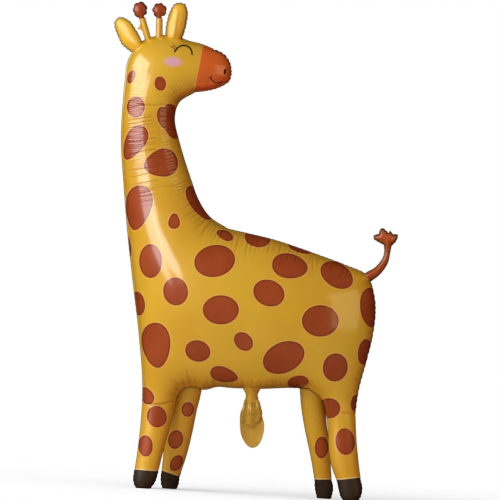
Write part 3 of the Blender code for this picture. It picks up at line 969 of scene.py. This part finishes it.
def neck_pleats(nodes):
    """Height of fine pleats across the neck, and where the neck has them, a mask of each groove between them
    for painted shade.
    """
    warp = nodes.math("MULTIPLY", nodes.noise(22.0, 1.0), PLEAT_WARP)
    pleats = nodes.noise_along(nodes.math("ADD", beyond(nodes, *PLEAT_WAY), warp), PLEATS_A_METRE)
    return pleats, nodes.math("MULTIPLY", nodes.ramp(pleats, 0.50, 0.40), nodes.field("pleat"))


def printed_colour(nodes, browns):
    """The film's gold with its muzzle and its spots, each with a pale line round it."""
    inks = bpy.context.scene.balloon_inks
    mottle = nodes.noise(6.0, 3.0)
    colour = nodes.mix(nodes.ramp(mottle, 0.35, 0.7), ink(inks.yellow), ink(inks.deep_yellow))
    orange = nodes.field("orange")
    colour = nodes.mix(nodes.ramp(orange, *MUZZLE_LINE), colour, ink(inks.halo))
    muzzle = nodes.mix(nodes.ramp(mottle, 0.3, 0.7), ink(inks.orange), ink(inks.deep_orange))
    colour = nodes.mix(nodes.ramp(orange, *MUZZLE_FILL), colour, muzzle)
    spot = nodes.field("brown")
    fill = nodes.mix(nodes.ramp(nodes.noise(20.0, 4.0), 0.3, 0.7), ink(browns[0]), ink(browns[1]))
    colour = nodes.mix(nodes.ramp(spot, *SPOT_HALO), colour, ink(inks.halo))
    colour = nodes.mix(nodes.ramp(spot, *SPOT_RIM), colour, ink(inks.spot_rim))
    return nodes.mix(nodes.ramp(spot, *SPOT_FILL), colour, fill)


def printed_film(name, with_face=False, shine=1.0, crinkled=0.11, bright=False):
    """Gold film printed with brown spots, an orange muzzle and black hooves, with painted shade along its weld,
    in its creases and near its lower and right edges.

    With bright, the browns are lighter copies of the spots' browns that paint light on the tail and the far
    legs.
    """
    inks = bpy.context.scene.balloon_inks
    nodes = Nodes(name)
    # Painted light: lighter copies of the spots' browns for the tail and the far legs.
    browns = (inks.lit_brown, inks.lit_deep_brown) if bright else (inks.brown, inks.deep_brown)
    colour = printed_colour(nodes, browns)
    # Painted shade in puckers, folds and pleat grooves: the colour is darkened there and the clear gloss is
    # lessened.
    crease_shade = nodes.math("MULTIPLY", nodes.ramp(nodes.field("crease_shade"), 0.05, 0.9), 0.6)
    crinkle = nodes.math("ADD", nodes.noise(38.0, 2.0), nodes.noise(160.0, 0.0, (1, 1, 3)))
    lines = 0.0
    if with_face:
        colour, lines = face_print(nodes, colour)
        pleats, grooves = neck_pleats(nodes)
        # The pleats' grooves get painted shade along with the creases.
        crease_shade = nodes.math("MAXIMUM", crease_shade, nodes.math("MULTIPLY", grooves, 0.75))
        raised = nodes.math("MULTIPLY", pleats, nodes.math("MULTIPLY", nodes.field("pleat"), 4.0))
        crinkle = nodes.math("ADD", crinkle, raised)
    nodes.bump(crinkle, crinkled, 0.0012)

    black = nodes.field("black")
    colour = nodes.mix(nodes.ramp(black, *HOOF_LINE), colour, ink(inks.hoof_line))
    colour = nodes.mix(nodes.ramp(black, *HOOF_FILL), colour, ink(inks.black))
    # Painted shade in creases: the colour is multiplied by a darker tint.
    colour = nodes.mix(nodes.math("MULTIPLY", crease_shade, 0.8), colour, ink(inks.crease_shade), "MULTIPLY")
    # Painted shade near edges that face down or right.
    shade = nodes.math("MULTIPLY", nodes.field("shade"), 0.85)
    colour = nodes.mix(shade, colour, ink(inks.shade), "MULTIPLY")
    # Painted shade: a dark band along the weld.
    hem = nodes.mix(0.8, colour, ink(inks.weld))
    colour = nodes.mix(nodes.ramp(nodes.field("edge"), *SHADED_HEM_FILL), colour, hem)
    height = nodes.vector("DOT_PRODUCT", nodes.place(), (0, 0, 1))
    gloss = nodes.ramp(height, DULL_BELOW, GLOSSY_ABOVE)
    colour = nodes.mix(nodes.math("SUBTRACT", 1.0, gloss), colour, ink(inks.dull), "MULTIPLY")
    shader = nodes.shader.inputs
    nodes.feed(shader["Base Color"], colour)
    shader["Metallic"].default_value = 0.12

    rough_places = nodes.math("MULTIPLY", nodes.math("MAXIMUM", crease_shade, lines), shine)
    smooth = nodes.math("SUBTRACT", shine, rough_places)
    nodes.feed(shader["Coat Weight"], nodes.math("MULTIPLY", gloss, smooth))
    shader["Coat Roughness"].default_value = 0.14
    shader["Coat IOR"].default_value = 2.4
    rough = nodes.math("ADD", nodes.math("MULTIPLY", nodes.noise(45.0, 3.0), 0.12), 0.34)
    nodes.feed(shader["Roughness"], rough)
    return nodes.material


def plain_gold(name, rough, metallic, shine):
    """Unprinted gold film of the filling valve."""
    inks = bpy.context.scene.balloon_inks
    nodes = Nodes(name)
    shader = nodes.shader.inputs
    mottle = nodes.ramp(nodes.noise(30.0, 4.0), 0.3, 0.7)
    nodes.feed(shader["Base Color"], nodes.mix(mottle, ink(inks.valve), ink(inks.deep_valve)))
    shader["Metallic"].default_value = metallic
    shader["Coat Weight"].default_value = shine
    shader["Coat Roughness"].default_value = 0.08
    uneven = nodes.math("MULTIPLY", nodes.noise(90.0, 2.0), 0.1)
    nodes.feed(shader["Roughness"], nodes.math("ADD", uneven, rough))
    nodes.bump(nodes.noise(70.0, 4.0), 0.25, 0.001)
    return nodes.material


class FilmSizes(bpy.types.PropertyGroup):
    """Sizes of the film that can be changed."""

    weld_width: bpy.props.FloatProperty(
        name="Weld width",
        description="Width of the flat strip outside the blown-up film",
        default=0.0026,
        unit="LENGTH",
    )
    film_thickness: bpy.props.FloatProperty(
        name="Film thickness",
        description="Thickness of one ply in the flat strip",
        default=0.00015,
        precision=5,
        unit="LENGTH",
    )
    fullness: bpy.props.FloatProperty(
        name="Fullness",
        description="Swell of a long tube against a round one",
        default=0.88,
    )
    ear_fullness: bpy.props.FloatProperty(
        name="Ear fullness",
        description="The same for the flatter ears and the valve's neck",
        default=0.70,
    )


def colour_property(name, description, default):
    """A colour that can be changed."""
    return bpy.props.FloatVectorProperty(
        name=name, description=description, default=default, subtype="COLOR", size=3, min=0, max=1
    )


class PrintInks(bpy.types.PropertyGroup):
    """Colours of the print, and tints that paint light and shade on it."""

    yellow: colour_property("Yellow", "Body colour", (0.87, 0.51, 0.030))
    deep_yellow: colour_property("Deep yellow", "Body colour where it is darker", (0.81, 0.43, 0.018))
    halo: colour_property("Halo", "Pale line round each printed shape", (0.96, 0.46, 0.08))
    brown: colour_property("Brown", "Fill of the spots", (0.46, 0.078, 0.012))
    deep_brown: colour_property("Deep brown", "Fill of the spots where it is darker", (0.39, 0.060, 0.008))
    # Painted light: lighter copies of the spots' browns, for the tail and the far legs.
    lit_brown: colour_property("Bright brown", "The tail and the far legs' spots", (0.55, 0.115, 0.018))
    lit_deep_brown: colour_property("Mid brown", "The bright brown where it is darker", (0.44, 0.080, 0.012))
    spot_rim: colour_property("Spot rim", "Dark line inside each spot's edge", (0.24, 0.035, 0.004))
    orange: colour_property("Orange", "Muzzle", (0.90, 0.175, 0.020))
    deep_orange: colour_property("Deep orange", "Muzzle where it is darker", (0.82, 0.140, 0.012))
    black: colour_property("Black", "Hooves", (0.055, 0.034, 0.020))
    hoof_line: colour_property("Hoof line", "Pale line above each hoof", (0.95, 0.68, 0.25))
    line: colour_property("Line", "Eye, nostril and smile", (0.030, 0.012, 0.006))
    cheek: colour_property("Cheek", "Blush on the cheek", (0.87, 0.46, 0.58))
    # Painted shade: the dark band along the weld.
    weld: colour_property("Weld", "Hem along the edge", (0.045, 0.026, 0.008))
    # Painted shade in puckers, folds and pleat grooves.
    crease_shade: colour_property("Crease", "Tint of the film in its small folds", (0.42, 0.30, 0.35))
    # Painted shade near edges that face down or right.
    shade: colour_property("Shade", "Tint of the film near its lower and right edges", (0.78, 0.44, 0.16))
    dull: colour_property("Dull film", "Tint of the film where its gloss fades out", (0.85, 0.80, 0.74))
    valve: colour_property("Valve gold", "Unprinted film of the valve", (0.72, 0.43, 0.06))
    deep_valve: colour_property("Deep valve gold", "The same where it is darker", (0.60, 0.33, 0.03))


def power_property(name, description, default):
    """A light's power that can be changed."""
    return bpy.props.FloatProperty(name=name, description=f"{description}, in watts", default=default, min=0)


class StudioSizes(bpy.types.PropertyGroup):
    """Camera and lights."""

    view_distance: bpy.props.FloatProperty(
        name="View distance",
        description="From the camera to the middle of the figure",
        default=20.0,
        unit="LENGTH",
    )
    key_strength: power_property("Key light", "Power of the large soft light on the left", 12.6)
    chest_strength: power_property("Chest light", "Power of the small light that shines on the chest", 0.8)
    side_strength: power_property("Side light", "Power of the small soft light on the right", 2.0)
    fill_strength: power_property("Fill light", "Power of the light that only fills shadows", 30.0)
    side_tint: colour_property("Side tint", "Colour of the light on the right", (1.0, 0.88, 0.52))
    room_light: bpy.props.FloatProperty(
        name="Room light",
        description="Brightness of the room all round",
        default=0.62,
    )
    room_bright: colour_property("Bright room", "Colour of the room's pale side", (1.0, 0.98, 0.94))
    room_dark: colour_property("Warm room", "Colour of the room's warm, darker side", (0.56, 0.13, 0.015))


class BALLOON_OT_trunk(bpy.types.Operator):
    """Head, neck, trunk and near legs, which are one sheet of film"""

    bl_idname = "balloon.trunk"
    bl_label = "Trunk"

    def execute(self, context):
        fullness = context.scene.balloon_film.fullness
        piece, sheet = welded_film("trunk_film", TRUNK, near_side, fullness, TRUNK_STEPS, TRUNK_FOLDS, seed=4)
        store(piece, "brown", spot_field(sheet, TRUNK_SPOTS))
        outside = np.maximum(egg_distance(sheet, PLEATED), 0)
        store(piece, "pleat", np.exp(-(outside / PLEAT_FADE) ** 2))
        chin_level = placed([MUZZLE_FLOOR])[0][1]
        store(piece, "orange", np.maximum(-line_distance(sheet, MUZZLE_EDGE), chin_level - sheet[:, 1]))
        above_front_hoof = line_distance(sheet, NEAR_FRONT_HOOF_EDGE)
        above_rear_hoof = line_distance(sheet, NEAR_REAR_HOOF_EDGE)
        store(piece, "black", np.where(sheet[:, 0] < 0, above_front_hoof, above_rear_hoof))
        finish_piece(piece, printed_film("trunk_print", with_face=True))
        return {"FINISHED"}


class BALLOON_OT_far_legs(bpy.types.Operator):
    """The two legs behind the trunk"""

    bl_idname = "balloon.far_legs"
    bl_label = "Far legs"

    def execute(self, context):
        fullness = context.scene.balloon_film.fullness
        legs = (
            ("far_front_leg_film", FAR_FRONT_LEG, FAR_FRONT_SPOTS, FAR_FRONT_HOOF_EDGE),
            ("far_rear_leg_film", FAR_REAR_LEG, FAR_REAR_SPOTS, FAR_REAR_HOOF_EDGE),
        )
        for seed, (name, stretches, spots, hoof_edge) in enumerate(legs, start=21):
            piece, sheet = welded_film(name, stretches, far_side, fullness, LEG_STEPS, seed=seed)
            store(piece, "brown", spot_field(sheet, spots))
            store(piece, "black", line_distance(sheet, hoof_edge))
            leave_unprinted(piece, "orange")
            finish_piece(piece, printed_film("leg_print", bright=True))
        return {"FINISHED"}


class BALLOON_OT_ears(bpy.types.Operator):
    """Both ears"""

    bl_idname = "balloon.ears"
    bl_label = "Ears"

    def execute(self, context):
        fullness = context.scene.balloon_film.ear_fullness
        for seed, (name, (stretches, folds, turn)) in enumerate(EARS.items(), start=31):
            piece, _ = welded_film(name, stretches, turned(*turn), fullness, EAR_STEPS, folds, seed=seed)
            leave_unprinted(piece, "brown", "orange", "black")
            finish_piece(piece, printed_film("ear_print", shine=0.5))
        return {"FINISHED"}


class BALLOON_OT_horns(bpy.types.Operator):
    """Both horns with their brown knobs"""

    bl_idname = "balloon.horns"
    bl_label = "Horns"

    def execute(self, context):
        fullness = context.scene.balloon_film.fullness
        for seed, (name, horn) in enumerate(HORNS.items(), start=41):
            stretches = horn_stretches(*horn)
            piece, sheet = welded_film(f"{name}_film", stretches, upright, fullness, SMALL_STEPS, seed=seed)
            (x, z), (half_width, half_height), _, _ = horn
            knob = (x, z, half_height + KNOB_MARGIN[1], half_width + KNOB_MARGIN[0], 90, 0)
            store(piece, "brown", spot_field(sheet, [knob]))
            leave_unprinted(piece, "orange", "black")
            finish_piece(piece, printed_film("horn_print", shine=0.45, crinkled=0.08))
        flap = thin_leaf("horn_flap_film", HORN_FLAP, flap_depth, *FLAP_LEAF)
        finish_piece(flap, plain_gold(*SATIN_GOLD))
        return {"FINISHED"}


class BALLOON_OT_tail(bpy.types.Operator):
    """The tail with its tuft"""

    bl_idname = "balloon.tail"
    bl_label = "Tail"

    def execute(self, context):
        fullness = context.scene.balloon_film.fullness
        piece, sheet = welded_film("tail_film", TAIL, upright, fullness, SMALL_STEPS, seed=51)
        store(piece, "brown", np.full(len(sheet), -1.0))
        leave_unprinted(piece, "orange", "black")
        finish_piece(piece, printed_film("tail_print", shine=0.6, crinkled=0.05, bright=True))
        return {"FINISHED"}


def thin_leaf(name, points, depth_of, middle, thickness, step):
    """A flat leaf of film: an outline filled, curled by a depth about its middle and given its thickness."""
    rim = curve_through(placed(points), step)
    if runs_clockwise(rim):
        rim = rim[::-1]
    low = rim.min(axis=0)
    high = rim.max(axis=0)
    x, z = np.meshgrid(np.arange(low[0], high[0], step), np.arange(low[1], high[1], step))
    grid = np.stack([x.ravel(), z.ravel()], axis=1)
    grid = grid[inside_of(rim, grid)]
    tree = tree_of(rim)
    clear = np.array([tree.find((x, z, 0))[2] for x, z in grid.tolist()])
    flat, triangles = triangulate(rim, grid[clear > 0.6 * step])
    depth = depth_of(flat - placed([middle])[0])
    piece = empty_mesh_object(name)
    places = np.stack([flat[:, 0], depth, flat[:, 1]], axis=1)
    piece.data.from_pydata(places.tolist(), [], triangles.tolist())
    piece.data.update()
    bpy.context.view_layer.objects.active = piece
    piece.select_set(True)
    shell = piece.modifiers.new("thickness", "SOLIDIFY")
    shell.thickness = thickness
    shell.offset = 0
    bpy.ops.object.modifier_apply(modifier=shell.name)
    bpy.ops.object.mode_set(mode="EDIT")
    bpy.ops.mesh.select_all(action="SELECT")
    bpy.ops.mesh.normals_make_consistent(inside=False)
    bpy.ops.object.mode_set(mode="OBJECT")
    bpy.ops.object.shade_smooth()
    piece.select_set(False)
    return piece


def flap_depth(away):
    """A scrap of film left beside a stem, turned a little away."""
    return -0.25 * away[:, 0]


def tongue_depth(away):
    """The back ply hangs almost flat, with a light curl."""
    return 0.0012 - 12 * away[:, 0] ** 2 - 0.0004 * np.cos(away[:, 1] * 160)


def lip_depth(away):
    """The front ply stands off and is gathered into pleats under the neck."""
    across, up = away.T
    down = np.clip(-up / LIP_LENGTH, 0, 1)
    width = LIP_PLEAT_WIDTH + LIP_PLEAT_SPREAD * down
    pleat = np.cos(across / width * math.pi) * LIP_PLEAT_DEPTH
    belly = LIP_BELLY * np.sin(down * math.pi * 0.9) + LIP_GAP
    return -(belly * (1 - (across / LIP_HALF_WIDTH) ** 2) + pleat * (0.4 + down))


class BALLOON_OT_valve(bpy.types.Operator):
    """The filling valve: its neck and its two-ply tongue"""

    bl_idname = "balloon.valve"
    bl_label = "Valve"

    def execute(self, context):
        fullness = context.scene.balloon_film.ear_fullness
        neck, _ = welded_film("valve_neck_film", VALVE_NECK, upright, fullness, EAR_STEPS, seed=61)
        leave_unprinted(neck, "brown", "orange", "black")
        finish_piece(neck, printed_film("neck_print"))
        tongue = thin_leaf("valve_tongue_film", TONGUE, tongue_depth, *TONGUE_LEAF)
        finish_piece(tongue, plain_gold(*SATIN_GOLD))
        lip = thin_leaf("valve_lip_film", LIP, lip_depth, *LIP_LEAF)
        finish_piece(lip, plain_gold(*BRIGHT_GOLD))
        return {"FINISHED"}


class BALLOON_OT_stage(bpy.types.Operator):
    """Pale floor, soft studio light and the camera"""

    bl_idname = "balloon.stage"
    bl_label = "Stage"

    def execute(self, context):
        studio = context.scene.balloon_studio
        bpy.ops.object.select_all(action="DESELECT")
        bpy.ops.mesh.primitive_plane_add(size=FLOOR_SIDE, location=(0, 0, -FLOOR_DROP))
        floor = context.object
        floor.name = "studio_floor"
        floor.is_shadow_catcher = True
        floor.visible_glossy = False
        bpy.ops.object.transform_apply(location=True, rotation=True, scale=True)
        nodes = Nodes("floor_paper")
        grain = nodes.ramp(nodes.noise(400.0, 3.0), 0.3, 0.7)
        paper = nodes.mix(grain, (0.93, 0.93, 0.93, 1), (0.96, 0.96, 0.96, 1))
        nodes.feed(nodes.shader.inputs["Base Color"], paper)
        nodes.shader.inputs["Roughness"].default_value = 0.9
        floor.data.materials.append(nodes.material)

        context.scene.world = studio_surroundings(studio)
        context.scene.view_settings.view_transform = "Standard"

        key = soft_light("key_light", studio.key_strength, *KEY_LIGHT)
        key.rotation_euler.rotate_axis("Z", KEY_ROLL)
        soft_light("chest_light", studio.chest_strength, *CHEST_LIGHT)
        side = soft_light("side_light", studio.side_strength, *SIDE_LIGHT)
        side.data.color = studio.side_tint
        fill = soft_light("fill_light", studio.fill_strength, *FILL_LIGHT)
        fill.visible_glossy = False

        context.scene.camera = square_on_camera(studio.view_distance)
        return {"FINISHED"}


def square_on_camera(distance):
    """A camera that faces the middle of the sheet, leans with it and sees just all of it."""
    eye = bpy.data.objects.new("view", bpy.data.cameras.new("view"))
    bpy.context.scene.collection.objects.link(eye)
    aim = placed([SHEET_MIDDLE])[0]
    eye.matrix_world = Matrix((
        (math.cos(LEAN), -math.sin(LEAN), 0, aim[0]),
        (0, 0, -1, -distance),
        (math.sin(LEAN), math.cos(LEAN), 0, aim[1]),
        (0, 0, 0, 1),
    ))
    eye.data.sensor_width = SENSOR_WIDTH
    eye.data.lens = SENSOR_WIDTH * distance / SHEET_SIDE
    eye.data.clip_end = 3 * distance
    return eye


def studio_surroundings(studio):
    """A white sweep behind the figure, in a dimmer room: pale above on the left, warm below on the right."""
    world = bpy.data.worlds.new("studio")
    world.use_nodes = True
    tree = world.node_tree
    room = tree.nodes["Background"]
    side = tree.nodes.new("ShaderNodeVectorMath")
    side.operation = "DOT_PRODUCT"
    side.inputs[1].default_value = ROOM_BRIGHT_SIDE
    tree.links.new(tree.nodes.new("ShaderNodeTexCoord").outputs["Generated"], side.inputs[0])
    share = tree.nodes.new("ShaderNodeMapRange")
    share.inputs["From Min"].default_value = -0.9
    share.inputs["From Max"].default_value = 0.7
    tree.links.new(side.outputs["Value"], share.inputs["Value"])
    shade = tree.nodes.new("ShaderNodeMix")
    shade.data_type = "RGBA"
    tree.links.new(share.outputs["Result"], shade.inputs["Factor"])
    shade.inputs["A"].default_value = ink(studio.room_dark)
    shade.inputs["B"].default_value = ink(studio.room_bright)
    tree.links.new(shade.outputs["Result"], room.inputs["Color"])
    room.inputs["Strength"].default_value = studio.room_light
    sweep = tree.nodes.new("ShaderNodeBackground")
    sweep.inputs["Color"].default_value = (1, 1, 1, 1)
    sweep.inputs["Strength"].default_value = 1.0
    seen = tree.nodes.new("ShaderNodeLightPath")
    both = tree.nodes.new("ShaderNodeMixShader")
    tree.links.new(seen.outputs["Is Camera Ray"], both.inputs["Fac"])
    tree.links.new(room.outputs[0], both.inputs[1])
    tree.links.new(sweep.outputs[0], both.inputs[2])
    tree.links.new(both.outputs[0], tree.nodes["World Output"].inputs["Surface"])
    world.cycles_visibility.glossy = False
    return world


def soft_light(name, power, place, aim, size):
    """A rectangular soft light that faces a point and doesn't show itself."""
    light = bpy.data.lights.new(name, "AREA")
    light.shape = "RECTANGLE"
    light.size, light.size_y = size
    light.energy = power
    lamp = bpy.data.objects.new(name, light)
    bpy.context.scene.collection.objects.link(lamp)
    lamp.location = place
    lamp.rotation_euler = (Vector(aim) - Vector(place)).to_track_quat("-Z", "Y").to_euler()
    lamp.visible_camera = False
    return lamp


STEPS = (
    BALLOON_OT_trunk,
    BALLOON_OT_far_legs,
    BALLOON_OT_ears,
    BALLOON_OT_horns,
    BALLOON_OT_tail,
    BALLOON_OT_valve,
    BALLOON_OT_stage,
)


class BALLOON_PT_steps(bpy.types.Panel):
    """Lists what the balloon is made of"""

    bl_idname = "BALLOON_PT_steps"
    bl_label = "Balloon"
    bl_space_type = "VIEW_3D"
    bl_region_type = "UI"
    bl_category = "Balloon"

    def draw(self, context):
        column = self.layout.column()
        for step in STEPS:
            column.operator(step.bl_idname)
        for group in ("balloon_film", "balloon_inks", "balloon_studio"):
            owner = getattr(context.scene, group)
            for name in owner.__annotations__:
                column.prop(owner, name)


GROUPS = {"balloon_film": FilmSizes, "balloon_inks": PrintInks, "balloon_studio": StudioSizes}


def register():
    for group in GROUPS.values():
        bpy.utils.register_class(group)
    for name, group in GROUPS.items():
        setattr(bpy.types.Scene, name, bpy.props.PointerProperty(type=group))
    for step in STEPS:
        bpy.utils.register_class(step)
    bpy.utils.register_class(BALLOON_PT_steps)


def unregister():
    bpy.utils.unregister_class(BALLOON_PT_steps)
    for step in reversed(STEPS):
        bpy.utils.unregister_class(step)
    for name in GROUPS:
        delattr(bpy.types.Scene, name)
    for group in reversed(list(GROUPS.values())):
        bpy.utils.unregister_class(group)


def main():
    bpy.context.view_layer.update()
    register()
    bpy.ops.balloon.trunk()
    bpy.ops.balloon.far_legs()
    bpy.ops.balloon.ears()
    bpy.ops.balloon.horns()
    bpy.ops.balloon.tail()
    bpy.ops.balloon.valve()
    bpy.ops.balloon.stage()


if __name__ == "__main__":
    main()
